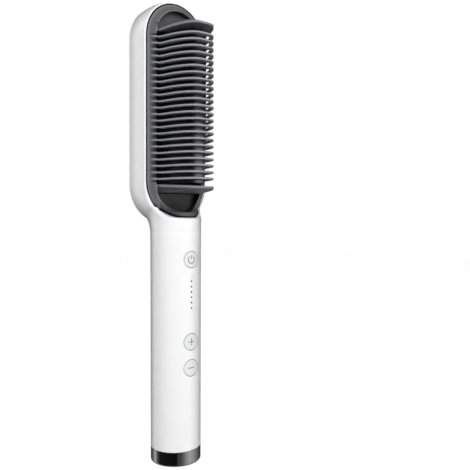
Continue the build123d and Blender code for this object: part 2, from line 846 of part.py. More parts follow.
nodes = {
    "handle_shell": handle_shell(),
    "comb_guard": comb_guard(),
    "heating_plate": heating_plate(),
    "plate_gasket": plate_gasket(),
    "ceramic_heater": strip(heater_half_width, heater_back, cavity_roof),
    "heater_insulation": strip(heater_half_width, insulation_back, heater_back),
    "heater_clamp": heater_clamp(),
    "heater_tray": heater_tray(),
    "tray_screws": tray_screws(),
    "thermal_fuse": thermal_fuse(),
    "thermistor": thermistor(),
    "back_bezel": back_bezel(),
    "back_panel": back_panel(),
    "light_guide": light_guide(),
    "indicator_leds": indicator_leds(),
    "control_board": control_board(),
    "board_carrier": board_carrier(),
    "board_screws": board_screws(),
    "microcontroller": microcontroller(),
    "triac": triac(),
    "x2_capacitor": x2_capacitor(),
    "smoothing_capacitor": smoothing_capacitor(),
    "base_cap": base_cap(),
    "inlet_gland": inlet_gland(),
    "supply_leads": supply_leads(),
    "heater_leads": heater_leads(),
    "sensor_leads": sensor_leads(),
}
for name, z in (("power", power_z), ("plus", plus_z), ("minus", minus_z)):
    nodes[name + "_button"] = button(z)
    nodes[name + "_plunger"] = plunger(z)
    nodes[name + "_switch"] = switch(z)

os.makedirs("parts", exist_ok=True)
for name, solid in nodes.items():
    solid.label = name
    export_step(solid, f"parts/{name}.step")
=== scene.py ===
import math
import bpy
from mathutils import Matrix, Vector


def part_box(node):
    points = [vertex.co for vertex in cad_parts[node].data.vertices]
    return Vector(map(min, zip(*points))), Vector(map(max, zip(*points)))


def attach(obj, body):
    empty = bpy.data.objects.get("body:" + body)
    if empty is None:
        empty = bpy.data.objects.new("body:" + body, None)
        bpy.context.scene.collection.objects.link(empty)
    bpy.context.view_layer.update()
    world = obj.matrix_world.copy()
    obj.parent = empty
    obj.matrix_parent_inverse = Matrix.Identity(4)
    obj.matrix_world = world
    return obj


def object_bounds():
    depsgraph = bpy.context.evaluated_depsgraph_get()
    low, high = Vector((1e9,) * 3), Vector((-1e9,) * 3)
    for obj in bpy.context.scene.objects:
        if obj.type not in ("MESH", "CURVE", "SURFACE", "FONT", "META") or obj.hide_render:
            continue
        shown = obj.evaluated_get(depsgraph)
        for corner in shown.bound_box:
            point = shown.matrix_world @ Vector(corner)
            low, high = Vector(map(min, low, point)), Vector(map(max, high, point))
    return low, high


bl_info = {
    "name": "Hair straightening brush",
    "version": (1, 0, 0),
    "blender": (4, 5, 0),
    "location": "View3D > Sidebar > Brush",
    "description": "Finishes a hair straightening brush and sets up a plain studio around it",
    "category": "Object",
}

import bpy
from bpy.props import FloatProperty, FloatVectorProperty, IntProperty, PointerProperty
from mathutils import Vector
from mathutils.bvhtree import BVHTree

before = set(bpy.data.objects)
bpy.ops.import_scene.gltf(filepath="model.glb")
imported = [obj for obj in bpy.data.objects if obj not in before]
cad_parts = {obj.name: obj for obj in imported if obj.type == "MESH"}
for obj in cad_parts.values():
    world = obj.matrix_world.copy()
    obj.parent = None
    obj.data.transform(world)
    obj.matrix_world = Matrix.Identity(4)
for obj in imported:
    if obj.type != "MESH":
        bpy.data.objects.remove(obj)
cad_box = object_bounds()

MM = 0.001
DEGREE = math.pi / 180
BACKWARD = Vector((0, 1, 0))
BUTTONS = ("power", "plus", "minus")

# Where the parts lie, read from the frame, in metres
comb_low, comb_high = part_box("comb_guard")
guide_low, guide_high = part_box("light_guide")

# The shell's face, which curves forward at its foot into a ledge under the comb
FACE_REACH = 0.6 * MM
LEDGE_DROP = 0.1 * MM
SCOOP_RADIUS = 12.5 * MM
SCOOP_Z = comb_low.z - LEDGE_DROP + SCOOP_RADIUS

# The round nose of the comb, which stands further forward than the crest of its frame
CREST_REACH = 3.7 * MM
NOSE_REACH = 12.4 * MM
NOSE_RADIUS = 16.4 * MM
NOSE_CENTRE = NOSE_REACH - NOSE_RADIUS

# The recessed floor of the comb's frame, and the foot of its low guard
RECESS_HALF = comb_high.x - 4.9 * MM
RECESS_LOW = comb_low.z + comb_high.x - 1.7 * MM
RECESS_HIGH = comb_high.z - comb_high.x
CREST_LEVEL = -3.6 * MM
LOW_GUARD_FOOT = comb_low.z + 14.3 * MM

# The row of ribs, and how far in front of the frame's crest they get a painted highlight
RIBS = 23
RIB_PITCH = 3.9 * MM
FIRST_RIB = comb_low.z + 23.2 * MM
LAST_RIB = FIRST_RIB + (RIBS - 1) * RIB_PITCH
HIGHLIGHT_FROM = CREST_LEVEL - 0.6 * MM
HIGHLIGHT_TO = CREST_LEVEL - 3 * MM

# The guards' inner faces, which lean away from the ribs from their feet to their tips
GUARD_BACK = 1.4 * MM
GUARD_FRONT = CREST_LEVEL - 0.3 * MM
LOW_GUARD_FACE = FIRST_RIB - 3 * MM
LOW_GUARD_LEAN = 1.7 * MM
TOP_GUARD_FACE = LAST_RIB + 3 * MM
TOP_GUARD_LEAN = 2.5 * MM

# Outward from the floor's middle line: the foot of a rib, and the frame's rim, which gets a painted
# highlight
FOOT_OUTER = RECESS_HALF + 3.8 * MM
FOOT_FULL = RECESS_HALF + 0.4 * MM
RIM_INNER = RECESS_HALF + 2.6 * MM
RIM_FULL = RECESS_HALF + 4.6 * MM

# How far each way the painted highlight on the lip round the floor reaches
LIP_REACH = 0.45 * MM

# Up or down from the middle of a gap between two ribs: its painted shade, and the painted highlight along
# the ridge of a rib's foot
GAP_SHADE_FULL = 0.8 * MM
GAP_SHADE_END = 1.2 * MM
RIDGE_START = 1.1 * MM
RIDGE_FULL = 1.7 * MM

# Away from a guard's inner face, its edge turns from its own tone to painted shade
GUARD_SHADE_START = 1.1 * MM
GUARD_SHADE_FULL = 1.7 * MM

# Up the comb's nose, from where its painted shade is darkest to where it has none
NOSE_SHADE_FULL = comb_low.z + 4 * MM
NOSE_SHADE_START = comb_low.z + 10 * MM

# Shares of the painted highlight's colour on the feet of the ribs, the rim, the lip beyond the ribs, and
# the guards
FOOT_HIGHLIGHT = 0.8
RIM_HIGHLIGHT = 0.5
LIP_HIGHLIGHT = 0.45
GUARD_HIGHLIGHT = 0.5

# Shares of the floor's dark colour, as painted shade, on the outer edges of the guards and at the foot of
# the nose
GUARD_SHADE = 0.85
NOSE_SHADE = 0.8

# A face of a guard counts as its edge where its normal rises by less than this
EDGE_RISE = 0.5

# The polished head's finish turns into the grip's satin below the comb
GRIP_TOP = comb_low.z - 14 * MM

# The lit indicator, the top one: its middle below the row's top, its distance to the next, and its radius
INDICATOR_INSET = 1.4 * MM
INDICATOR_SPACING = 3.22 * MM
INDICATOR_RADIUS = 0.6 * MM

# The seals, dark cords that also stand in for the shade in their gaps, in shares of their radius: how deep
# their middle lies, and how far it stays off the nose
COMB_SEAL_SUNK = 0.4
BUTTON_SEAL_SUNK = 0.5
NOSE_SEAL_OFF = 0.5

# Faces round a seal
CORD_SIDES = 8

# The power symbol: half its ring's gap in degrees, and the ends of its bar in shares of that radius
POWER_GAP = 35
POWER_BAR = (0.1, 1.1)


def linear(hex_colour):
    """An sRGB hex colour such as #F2F2F3 as linear red, green and blue."""
    channels = [int(hex_colour[place:place + 2], 16) / 255 for place in (1, 3, 5)]
    return tuple(c / 12.92 if c <= 0.04045 else ((c + 0.055) / 1.055) ** 2.4 for c in channels)


def with_alpha(colour):
    return (*colour, 1.0)


def shade(colour, factor):
    """A lighter or darker version of a linear colour, for a material's slight unevenness."""
    return (*(min(channel * factor, 1.0) for channel in colour), 1.0)


def colour_property(name, description, hex_colour):
    return FloatVectorProperty(
        name=name, description=description, subtype="COLOR", min=0, max=1, default=linear(hex_colour)
    )


def length_property(name, description, millimetres):
    return FloatProperty(name=name, description=description, subtype="DISTANCE", default=millimetres * MM)


class BrushColours(bpy.types.PropertyGroup):
    shell: colour_property("Shell", "White mouldings: handle and back panel", "#F1F1F2")
    # Painted shade: the buttons' faces are a darker copy of the shell's white
    button: colour_property("Buttons", "Faces of the buttons", "#E2E2E4")
    comb: colour_property("Comb", "Heat-resistant comb moulding", "#5A5A5C")
    # Painted highlight: this lighter colour stands for light on the ribs, their feet, the frame's rim and
    # lip, and the guards
    comb_highlight: colour_property("Worn ribs", "Comb moulding where hair has rubbed the ribs", "#969699")
    # The floor's own colour, darker at its foot, also painted as shade between the ribs' feet, on the
    # guards' edges and on the nose
    comb_floor_and_shade: colour_property("Comb floor", "Dull floor of the comb's frame at its foot", "#1E1E1F")
    # Painted light: the floor's top is lighter, standing for the light that falls there
    comb_top_painted_light: colour_property("Comb floor's top", "Cleaner floor of the comb's frame at its top", "#3F3F41")
    plate: colour_property("Heating plate", "Ceramic coating of the heated dome", "#202022")
    bezel: colour_property("Bezel", "Dark metallic ring round the back panel", "#8C8C90")
    cap: colour_property("Base cap", "Gloss black end cap", "#030303")
    ink: colour_property("Symbols", "Ink of the printed symbols", "#8E8E91")
    unlit: colour_property("Unlit lamp", "Lens of an indicator that is off", "#060607")
    lit: colour_property("Lit lamp", "Glow of the indicator that is on", "#DDEAED")
    # The black cord also stands in for the shade in the gap round the comb
    comb_seal_and_shade: colour_property("Comb seal", "Black silicone round the comb", "#0A0A0B")
    # The grey cords also stand in for the shade in the gaps round the buttons
    button_seal_and_shade: colour_property("Button seals", "Grey silicone round the buttons", "#7C7C7E")


class BrushSizes(bpy.types.PropertyGroup):
    stroke: length_property("Stroke", "Width of a printed symbol's line", 0.68)
    symbol: length_property("Symbol", "Height and width of a printed symbol", 4.6)
    ink_height: length_property("Ink height", "How far the ink stands proud of the button", 0.02)
    comb_gap: length_property("Comb gap", "Width of the gap between the comb and the shell", 0.45)
    # The comb's cord is a seal whose black also stands in for the shade in its gap, thickest under the nose
    comb_seal_and_shade: length_property("Comb seal", "Radius of the cord in that gap", 0.56)
    nose_seal_and_shade: length_property("Nose seal", "Radius of that cord under the comb's nose", 0.75)
    button_radius: length_property("Button radius", "Radius of a button's face", 5.0)
    button_gap: length_property("Button gap", "Width of the gap round a button", 0.2)
    # Each button's cord is a seal whose grey also stands in for the shade in its gap
    button_seal_and_shade: length_property("Button seal", "Radius of the cord in that gap", 0.28)
    glow_reach: length_property("Glow reach", "How far the lit indicator's glow spreads in the wall", 3.2)
    glow: FloatProperty(name="Glow", description="Strength of the lit indicator", min=0, default=0.05)


class BrushStudio(bpy.types.PropertyGroup):
    floor: FloatProperty(name="Floor", description="Width of the floor", subtype="DISTANCE", default=4.0)
    shadow: FloatProperty(
        name="Shadow", description="Share of real light in the floor's look", subtype="FACTOR", default=0.15
    )
    ambient: FloatProperty(name="Ambient", description="Even light from all round", min=0, default=0.17)
    key: FloatProperty(name="Key", description="Level of the light from the front", min=0, default=0.96)
    back_key: FloatProperty(
        name="Back key", description="Level of the light from the back", min=0, default=0.9
    )
    mirrored: FloatProperty(
        name="Mirrored studio", description="Brightness of the softboxes in reflections", min=0, default=0.5
    )
    segments: IntProperty(
        name="Arc steps", description="Steps round a printed arc or a seal", min=8, default=40
    )


def add_node(tree, kind, inputs=None, **settings):
    """Add a node; an input takes a value, an output, or a node, whose first output in use it gets."""
    made = tree.nodes.new(kind)
    for name, value in settings.items():
        setattr(made, name, value)
    for name, value in (inputs or {}).items():
        socket = made.inputs[name]
        if isinstance(value, bpy.types.Node):
            value = next(output for output in value.outputs if output.enabled)
        if isinstance(value, bpy.types.NodeSocket):
            tree.links.new(value, socket)
        else:
            socket.default_value = value
    return made


def new_material(name):
    """An empty node material, and the place of each point in the frame."""
    material = bpy.data.materials.new(name)
    material.use_nodes = True
    tree = material.node_tree
    tree.nodes.clear()
    place = add_node(tree, "ShaderNodeTexCoord").outputs["Object"]
    return material, tree, place


def per_metre(millimetres):
    """A texture's scale for features of this size."""
    return 1 / (millimetres * MM)


def mottled(tree, place, colour, millimetres, darkest, lightest, detail=2.0):
    """Noise with features of this size, and the colour that it varies between two shades of itself."""
    noise = add_node(
        tree, "ShaderNodeTexNoise", {"Vector": place, "Scale": per_metre(millimetres), "Detail": detail}
    )
    tone = add_node(
        tree,
        "ShaderNodeMix",
        {"Factor": noise, "A": shade(colour, darkest), "B": shade(colour, lightest)},
        data_type="RGBA",
    )
    return noise, tone


def finish_node(name, material):
    """Give a CAD node's object this material alone."""
    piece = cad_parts[name]
    piece.data.materials.clear()
    piece.data.materials.append(material)


def gloss_white_abs(name, colour, colours, sizes):
    """White ABS, polished at the head and satin at the grip, where reflections are softer.

    It has a faint orange peel, and the lit indicator's glow is painted into the wall's colour around it.
    """
    material, tree, place = new_material(name)
    _, tone = mottled(tree, place, colour, millimetres=30, darkest=0.985, lightest=1.01)
    height = add_node(tree, "ShaderNodeSeparateXYZ", {"Vector": place}).outputs["Z"]
    polish = add_node(
        tree,
        "ShaderNodeMapRange",
        {"Value": height, "From Min": GRIP_TOP, "From Max": comb_low.z, "To Min": 0.34, "To Max": 0.12},
        interpolation_type="SMOOTHSTEP",
    )
    peel = add_node(tree, "ShaderNodeTexNoise", {"Vector": place, "Scale": per_metre(1.6), "Detail": 1.0})
    bump = add_node(tree, "ShaderNodeBump", {"Height": peel, "Strength": 1.0, "Distance": 0.002 * MM})
    indicator = (0, guide_low.y, guide_high.z - INDICATOR_INSET)
    away = add_node(tree, "ShaderNodeVectorMath", {0: place, 1: indicator}, operation="DISTANCE")
    glow = add_node(
        tree,
        "ShaderNodeMapRange",
        {
            "Value": away,
            "From Min": INDICATOR_RADIUS,
            "From Max": sizes.glow_reach,
            "To Min": 0.6,
            "To Max": 0.0,
        },
        interpolation_type="SMOOTHSTEP",
    )
    # Painted light: near the top indicator the wall's colour turns towards the lit colour
    glow_painted = add_node(
        tree, "ShaderNodeMix", {"Factor": glow, "A": tone, "B": with_alpha(colours.lit)}, data_type="RGBA"
    )
    plastic = add_node(
        tree,
        "ShaderNodeBsdfPrincipled",
        {"Base Color": glow_painted, "Roughness": polish, "IOR": 1.53, "Normal": bump},
    )
    add_node(tree, "ShaderNodeOutputMaterial", {"Surface": plastic})
    return material


def frame_floor(tree, x, y, z):
    """1 on the recessed floor of the comb's frame, and each point's distance from its middle line."""
    clamped = add_node(tree, "ShaderNodeClamp", {"Value": z, "Min": RECESS_LOW, "Max": RECESS_HIGH})
    beyond = add_node(tree, "ShaderNodeMath", {0: z, 1: clamped}, operation="SUBTRACT")
    flat = add_node(tree, "ShaderNodeCombineXYZ", {"X": x, "Y": beyond})
    from_middle = add_node(tree, "ShaderNodeVectorMath", {0: flat}, operation="LENGTH")
    inside = add_node(tree, "ShaderNodeMath", {0: from_middle, 1: RECESS_HALF}, operation="LESS_THAN")
    behind = add_node(tree, "ShaderNodeMath", {0: y, 1: CREST_LEVEL}, operation="GREATER_THAN")
    below = add_node(tree, "ShaderNodeMath", {0: z, 1: LOW_GUARD_FOOT}, operation="LESS_THAN")
    either = add_node(tree, "ShaderNodeMath", {0: behind, 1: below}, operation="MAXIMUM")
    floor = add_node(tree, "ShaderNodeMath", {0: inside, 1: either}, operation="MULTIPLY")
    return floor, from_middle


def rib_row(tree, z, from_middle):
    """1 along the row of ribs, 1 on the crest under it, and the height from the nearest gap's middle."""
    above_first = add_node(
        tree, "ShaderNodeMath", {0: z, 1: FIRST_RIB - RIB_PITCH / 2}, operation="SUBTRACT"
    )
    half_row = (LAST_RIB - FIRST_RIB + RIB_PITCH) / 2
    among_ribs = add_node(
        tree, "ShaderNodeMath", {0: above_first, 1: half_row, 2: half_row}, operation="COMPARE"
    )
    near_crest = add_node(
        tree,
        "ShaderNodeMapRange",
        {"Value": from_middle, "From Min": FOOT_OUTER, "From Max": FOOT_FULL},
        interpolation_type="SMOOTHSTEP",
    )
    on_row = add_node(tree, "ShaderNodeMath", {0: near_crest, 1: among_ribs}, operation="MULTIPLY")
    from_gap = add_node(tree, "ShaderNodeMath", {0: above_first, 1: RIB_PITCH / 2}, operation="PINGPONG")
    return among_ribs, on_row, from_gap


def painted_highlights(tree, y, from_middle, among_ribs, on_row, from_gap):
    """How much painted highlight a point gets: ribs most, then their feet, the edges and the guards."""
    # Painted highlight along the ridge of each rib's foot
    ridge = add_node(
        tree,
        "ShaderNodeMapRange",
        {"Value": from_gap, "From Min": RIDGE_START, "From Max": RIDGE_FULL, "To Max": FOOT_HIGHLIGHT},
        interpolation_type="SMOOTHSTEP",
    )
    foot = add_node(tree, "ShaderNodeMath", {0: ridge, 1: on_row}, operation="MULTIPLY")
    forward = add_node(
        tree,
        "ShaderNodeMapRange",
        {"Value": y, "From Min": HIGHLIGHT_FROM, "From Max": HIGHLIGHT_TO},
        interpolation_type="SMOOTHSTEP",
    )
    row_highlight = add_node(tree, "ShaderNodeMapRange", {"Value": among_ribs, "To Min": GUARD_HIGHLIGHT})
    forward_highlight = add_node(tree, "ShaderNodeMath", {0: forward, 1: row_highlight}, operation="MULTIPLY")
    # Painted highlight along the frame's outer rim, and along the lip round the floor beyond the ribs
    rim = add_node(
        tree,
        "ShaderNodeMapRange",
        {"Value": from_middle, "From Min": RIM_INNER, "From Max": RIM_FULL, "To Max": RIM_HIGHLIGHT},
        interpolation_type="SMOOTHSTEP",
    )
    from_lip = add_node(
        tree, "ShaderNodeMath", {0: from_middle, 1: RECESS_HALF, 2: LIP_REACH}, operation="COMPARE"
    )
    lip_highlight = add_node(
        tree, "ShaderNodeMapRange", {"Value": among_ribs, "To Min": LIP_HIGHLIGHT, "To Max": 0.0}
    )
    lip = add_node(tree, "ShaderNodeMath", {0: from_lip, 1: lip_highlight}, operation="MULTIPLY")
    edges = add_node(tree, "ShaderNodeMath", {0: rim, 1: lip}, operation="MAXIMUM")
    ribs = add_node(tree, "ShaderNodeMath", {0: forward_highlight, 1: foot}, operation="MAXIMUM")
    return add_node(tree, "ShaderNodeMath", {0: ribs, 1: edges}, operation="MAXIMUM")


def painted_shade(tree, y, z):
    """How much painted shade a point gets: the guards' outer edges, and the nose at its foot."""
    low_face = add_node(
        tree,
        "ShaderNodeMapRange",
        {
            "Value": y,
            "From Min": GUARD_BACK,
            "From Max": comb_low.y,
            "To Min": LOW_GUARD_FACE,
            "To Max": LOW_GUARD_FACE - LOW_GUARD_LEAN,
        },
    )
    top_face = add_node(
        tree,
        "ShaderNodeMapRange",
        {
            "Value": y,
            "From Min": GUARD_BACK,
            "From Max": comb_low.y,
            "To Min": TOP_GUARD_FACE,
            "To Max": TOP_GUARD_FACE + TOP_GUARD_LEAN,
        },
    )
    under_low = add_node(tree, "ShaderNodeMath", {0: low_face, 1: z}, operation="SUBTRACT")
    over_top = add_node(tree, "ShaderNodeMath", {0: z, 1: top_face}, operation="SUBTRACT")
    from_face = add_node(tree, "ShaderNodeMath", {0: under_low, 1: over_top}, operation="MAXIMUM")
    # Painted shade: a guard's edge takes the floor's dark tone away from its inner face
    edge_shade = add_node(
        tree,
        "ShaderNodeMapRange",
        {"Value": from_face, "From Min": GUARD_SHADE_START, "From Max": GUARD_SHADE_FULL, "To Max": GUARD_SHADE},
        interpolation_type="SMOOTHSTEP",
    )
    facing = add_node(tree, "ShaderNodeTexCoord").outputs["Normal"]
    tilt = add_node(tree, "ShaderNodeSeparateXYZ", {"Vector": facing}).outputs["Z"]
    edgewise = add_node(tree, "ShaderNodeMath", {0: tilt, 1: 0.0, 2: EDGE_RISE}, operation="COMPARE")
    ahead = add_node(tree, "ShaderNodeMath", {0: y, 1: GUARD_FRONT}, operation="LESS_THAN")
    above_foot = add_node(tree, "ShaderNodeMath", {0: z, 1: LOW_GUARD_FOOT}, operation="GREATER_THAN")
    on_guard = add_node(tree, "ShaderNodeMath", {0: ahead, 1: above_foot}, operation="MULTIPLY")
    on_edge = add_node(tree, "ShaderNodeMath", {0: on_guard, 1: edgewise}, operation="MULTIPLY")
    guard = add_node(tree, "ShaderNodeMath", {0: on_edge, 1: edge_shade}, operation="MULTIPLY")
    # Painted shade: the nose darkens towards its foot
    nose = add_node(
        tree,
        "ShaderNodeMapRange",
        {"Value": z, "From Min": NOSE_SHADE_START, "From Max": NOSE_SHADE_FULL, "To Max": NOSE_SHADE},
        interpolation_type="SMOOTHSTEP",
    )
    return add_node(tree, "ShaderNodeMath", {0: guard, 1: nose}, operation="MAXIMUM")


def moulded_heat_resistant_nylon(colours):
    """Glass-filled nylon with a fine spark-eroded grain, darker and duller on the frame's floor, with
    painted highlights and painted shade.
    """
    material, tree, place = new_material("moulded_heat_resistant_nylon")
    x, y, z = add_node(tree, "ShaderNodeSeparateXYZ", {"Vector": place}).outputs
    floor, from_middle = frame_floor(tree, x, y, z)
    among_ribs, on_row, from_gap = rib_row(tree, z, from_middle)
    highlight_share = painted_highlights(tree, y, from_middle, among_ribs, on_row, from_gap)
    _, moulded = mottled(tree, place, colours.comb, millimetres=9, darkest=0.9, lightest=1.1)
    # Painted highlight: the ribs, their feet, the rim, the lip and the guards turn towards a lighter colour
    highlighted = add_node(
        tree,
        "ShaderNodeMix",
        {"Factor": highlight_share, "A": moulded, "B": with_alpha(colours.comb_highlight)},
        data_type="RGBA",
    )
    # Painted shade darkens the frame between the ribs' feet, most at the crest
    in_gap = add_node(
        tree,
        "ShaderNodeMapRange",
        {"Value": from_gap, "From Min": GAP_SHADE_END, "From Max": GAP_SHADE_FULL},
        interpolation_type="SMOOTHSTEP",
    )
    gap_shade = add_node(tree, "ShaderNodeMath", {0: in_gap, 1: on_row}, operation="MULTIPLY")
    gap_shaded = add_node(
        tree,
        "ShaderNodeMix",
        {"Factor": gap_shade, "A": highlighted, "B": with_alpha(colours.comb_floor_and_shade)},
        data_type="RGBA",
    )
    # On the floor, and as painted shade on the guards' edges and the nose, the comb has the floor's tone,
    # lighter towards the top as painted light
    floor_and_shade = add_node(tree, "ShaderNodeMath", {0: floor, 1: painted_shade(tree, y, z)}, operation="MAXIMUM")
    # Painted light: the floor's tone lightens from the first rib to the last
    up_the_comb = add_node(
        tree, "ShaderNodeMapRange", {"Value": z, "From Min": FIRST_RIB, "From Max": LAST_RIB}
    )
    floor_tone = add_node(
        tree,
        "ShaderNodeMix",
        {"Factor": up_the_comb, "A": with_alpha(colours.comb_floor_and_shade), "B": with_alpha(colours.comb_top_painted_light)},
        data_type="RGBA",
    )
    tone = add_node(
        tree, "ShaderNodeMix", {"Factor": floor_and_shade, "A": gap_shaded, "B": floor_tone}, data_type="RGBA"
    )
    roughness = add_node(tree, "ShaderNodeMapRange", {"Value": floor, "To Min": 0.42, "To Max": 0.55})
    grain = add_node(
        tree, "ShaderNodeTexNoise", {"Vector": place, "Scale": per_metre(0.35), "Detail": 3.0}
    )
    bump = add_node(tree, "ShaderNodeBump", {"Height": grain, "Strength": 0.6, "Distance": 0.02 * MM})
    plastic = add_node(
        tree,
        "ShaderNodeBsdfPrincipled",
        {"Base Color": tone, "Roughness": roughness, "Specular IOR Level": 0.35, "Normal": bump},
    )
    add_node(tree, "ShaderNodeOutputMaterial", {"Surface": plastic})
    return material


def ceramic_coated_aluminium(colours):
    """Die-cast aluminium under a sprayed dark ceramic coat, smooth with a slight sheen."""
    material, tree, place = new_material("ceramic_coated_aluminium")
    speckle, tone = mottled(tree, place, colours.plate, millimetres=0.5, darkest=0.8, lightest=1.3)
    bump = add_node(tree, "ShaderNodeBump", {"Height": speckle, "Strength": 0.5, "Distance": 0.01 * MM})
    coat = add_node(
        tree,
        "ShaderNodeBsdfPrincipled",
        {"Base Color": tone, "Roughness": 0.28, "IOR": 1.6, "Normal": bump},
    )
    add_node(tree, "ShaderNodeOutputMaterial", {"Surface": coat})
    return material


def dark_metallic_paint(colours):
    """Dark metallic lacquer on a moulded ring: fine flakes under a smooth clear coat."""
    material, tree, place = new_material("dark_metallic_paint")
    # Real flakes are a tenth of this size and would not show
    flakes = add_node(
        tree, "ShaderNodeTexVoronoi", {"Vector": place, "Scale": per_metre(0.25)}, feature="F1"
    )
    tone = add_node(
        tree,
        "ShaderNodeMix",
        {"Factor": flakes, "A": shade(colours.bezel, 1.1), "B": shade(colours.bezel, 0.8)},
        data_type="RGBA",
    )
    paint = add_node(
        tree,
        "ShaderNodeBsdfPrincipled",
        {
            "Base Color": tone,
            "Metallic": 0.85,
            "Roughness": 0.32,
            "Coat Weight": 0.4,
            "Coat Roughness": 0.08,
        },
    )
    add_node(tree, "ShaderNodeOutputMaterial", {"Surface": paint})
    return material


def gloss_black_abs(colours):
    """Gloss black ABS under a clear lacquer; nearly all that shows is the studio's reflection."""
    material, tree, place = new_material("gloss_black_abs")
    cloud = add_node(tree, "ShaderNodeTexNoise", {"Vector": place, "Scale": per_metre(12), "Detail": 3.0})
    polish = add_node(tree, "ShaderNodeMapRange", {"Value": cloud, "To Min": 0.04, "To Max": 0.10})
    peel = add_node(tree, "ShaderNodeTexNoise", {"Vector": place, "Scale": per_metre(2), "Detail": 1.0})
    bump = add_node(tree, "ShaderNodeBump", {"Height": peel, "Strength": 1.0, "Distance": 0.002 * MM})
    plastic = add_node(
        tree,
        "ShaderNodeBsdfPrincipled",
        {
            "Base Color": with_alpha(colours.cap),
            "Roughness": polish,
            "IOR": 1.53,
            "Coat Weight": 1.0,
            "Coat Roughness": 0.03,
            "Coat IOR": 1.55,
            "Normal": bump,
        },
    )
    add_node(tree, "ShaderNodeOutputMaterial", {"Surface": plastic})
    return material


def pad_printed_ink(colours):
    """Grey pad-printed ink, matt, with the slight mottle of a thin print."""
    material, tree, place = new_material("pad_printed_ink")
    _, tone = mottled(tree, place, colours.ink, millimetres=0.6, darkest=0.85, lightest=1.15)
    ink = add_node(tree, "ShaderNodeBsdfPrincipled", {"Base Color": tone, "Roughness": 0.45})
    add_node(tree, "ShaderNodeOutputMaterial", {"Surface": ink})
    return material


def diffusing_acrylic(colours, sizes):
    """Smoked acrylic pins: dark where the lamp behind is off, and glowing at the one that is on."""
    material, tree, place = new_material("diffusing_acrylic")
    height = add_node(tree, "ShaderNodeSeparateXYZ", {"Vector": place}).outputs["Z"]
    lit = add_node(
        tree, "ShaderNodeMath", {0: height, 1: guide_high.z - INDICATOR_SPACING}, operation="GREATER_THAN"
    )
    _, smoked = mottled(tree, place, colours.unlit, millimetres=0.4, darkest=0.9, lightest=1.1)
    tone = add_node(
        tree,
        "ShaderNodeMix",
        {"Factor": lit, "A": smoked, "B": with_alpha(colours.lit)},
        data_type="RGBA",
    )
    strength = add_node(tree, "ShaderNodeMapRange", {"Value": lit, "To Min": 0.0, "To Max": sizes.glow})
    acrylic = add_node(
        tree,
        "ShaderNodeBsdfPrincipled",
        {
            "Base Color": tone,
            "Roughness": 0.25,
            "IOR": 1.49,
            "Emission Color": with_alpha(colours.lit),
            "Emission Strength": strength,
        },
    )
    add_node(tree, "ShaderNodeOutputMaterial", {"Surface": acrylic})
    return material


def plain_stock(name, hex_colour, grain_mm, roughness, metallic=0.0):
    """A material for a piece inside the housing: one colour with the unevenness of its stock."""
    material, tree, place = new_material(name)
    grain, tone = mottled(
        tree, place, linear(hex_colour), millimetres=grain_mm, darkest=0.85, lightest=1.15, detail=3.0
    )
    bump = add_node(tree, "ShaderNodeBump", {"Height": grain, "Strength": 0.5, "Distance": 0.02 * MM})
    stock = add_node(
        tree,
        "ShaderNodeBsdfPrincipled",
        {"Base Color": tone, "Roughness": roughness, "Metallic": metallic, "Normal": bump},
    )
    add_node(tree, "ShaderNodeOutputMaterial", {"Surface": stock})
    return material


def silicone_rubber(name, colour):
    """Extruded silicone cord, matt, with the fine bloom that such rubber gets."""
    material, tree, place = new_material(name)
    _, tone = mottled(tree, place, colour, millimetres=0.8, darkest=0.8, lightest=1.3)
    rubber = add_node(
        tree,
        "ShaderNodeBsdfPrincipled",
        {"Base Color": tone, "Roughness": 0.7, "Specular IOR Level": 0.2},
    )
    add_node(tree, "ShaderNodeOutputMaterial", {"Surface": rubber})
    return material


def new_piece(name, vertices, faces, material, smooth=False):
    """A mesh of its own, in the scene, with this material."""
    mesh = bpy.data.meshes.new(name)
    mesh.from_pydata(vertices, [], faces, shade_flat=not smooth)
    mesh.validate()
    mesh.update()
    mesh.materials.append(material)
    piece = bpy.data.objects.new(name, mesh)
    bpy.context.scene.collection.objects.link(piece)
    return piece


def cord(name, points, radii, material):
    """A closed round cord through the points, with a radius at each."""
    vertices, faces = [], []
    for index, point in enumerate(points):
        along = (points[(index + 1) % len(points)] - points[index - 1]).normalized()
        across = along.cross(BACKWARD).normalized()
        upward = across.cross(along)
        for side in range(CORD_SIDES):
            angle = 2 * math.pi * side / CORD_SIDES
            vertices.append(point + (across * math.cos(angle) + upward * math.sin(angle)) * radii[index])
    for index in range(len(points)):
        here, there = CORD_SIDES * index, CORD_SIDES * ((index + 1) % len(points))
        for side in range(CORD_SIDES):
            after = (side + 1) % CORD_SIDES
            faces.append((here + side, there + side, there + after, here + after))
    return new_piece(name, vertices, faces, material, smooth=True)


def scoop_reach(z):
    """How far the head's face, which curves forward at its foot, reaches to the front at a height."""
    below = SCOOP_Z - z
    if below <= 0:
        return FACE_REACH
    return FACE_REACH + SCOOP_RADIUS - math.sqrt(max(SCOOP_RADIUS ** 2 - below ** 2, 0))


